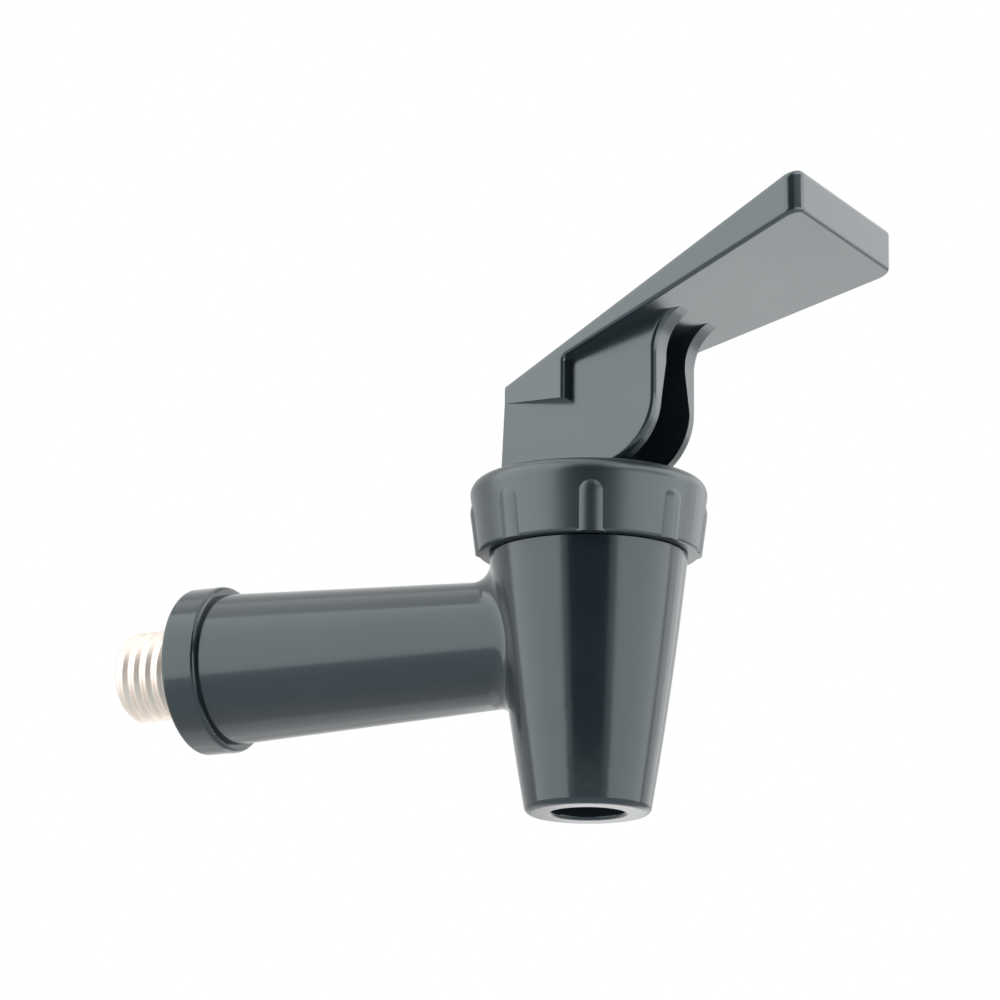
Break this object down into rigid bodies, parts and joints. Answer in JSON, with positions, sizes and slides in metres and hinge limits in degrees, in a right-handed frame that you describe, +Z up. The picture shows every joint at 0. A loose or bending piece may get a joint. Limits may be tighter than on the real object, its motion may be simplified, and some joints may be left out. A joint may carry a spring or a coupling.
{
  "type": "beverage dispensing faucet",
  "caption": "Self-closing lever faucet: tapered shank with threaded nipple, conical spout, ribbed screw bonnet and a flared lever whose cam fork lifts a sprung silicone seat cup.",
  "frame": {"origin": "middle of the collar's seating face, on the shank's axis, where the threaded nipple leaves it", "axes": "+X along the shank, out of the dispenser's wall towards the lever's front; +Y across the lever; +Z up along the valve's axis"},
  "size_m": [0.1371, 0.0428, 0.1023],
  "materials": {
    "black_plastic": "glossy moulded, near black",
    "nipple_metal": "nickel-plated brass, warm pale metal",
    "stem_plastic": "satin moulded acetal, black",
    "silicone": "milky food-grade silicone",
    "steel": "drawn stainless steel"
  },
  "bodies": {
    "faucet": {"faucet_body": "black_plastic", "shank_nipple": "nipple_metal", "bonnet": "black_plastic", "seat_cup": "silicone", "return_spring": "steel"},
    "stem": {"valve_stem": "stem_plastic", "hinge_pin": "steel"},
    "handle": {"lever_handle": "black_plastic"}
  },
  "joints": [
    {"name": "stem_lift", "type": "slide", "parent": "faucet", "child": "stem", "axis": [0, 0, 1], "range_m": [0, 0.00314], "stiffness_N_per_m": 880, "springref_m": -0.00455, "deforming": ["return_spring", "seat_cup"]},
    {"name": "handle_press", "type": "hinge", "parent": "stem", "child": "handle", "pos_m": [0.0756, 0, 0.0364], "axis": [0, 1, 0], "range_deg": [0, 36.1]}
  ],
  "couplings": [
    {"joint": "handle_press", "follows": "stem_lift", "rad_per_m": 200}
  ]
}
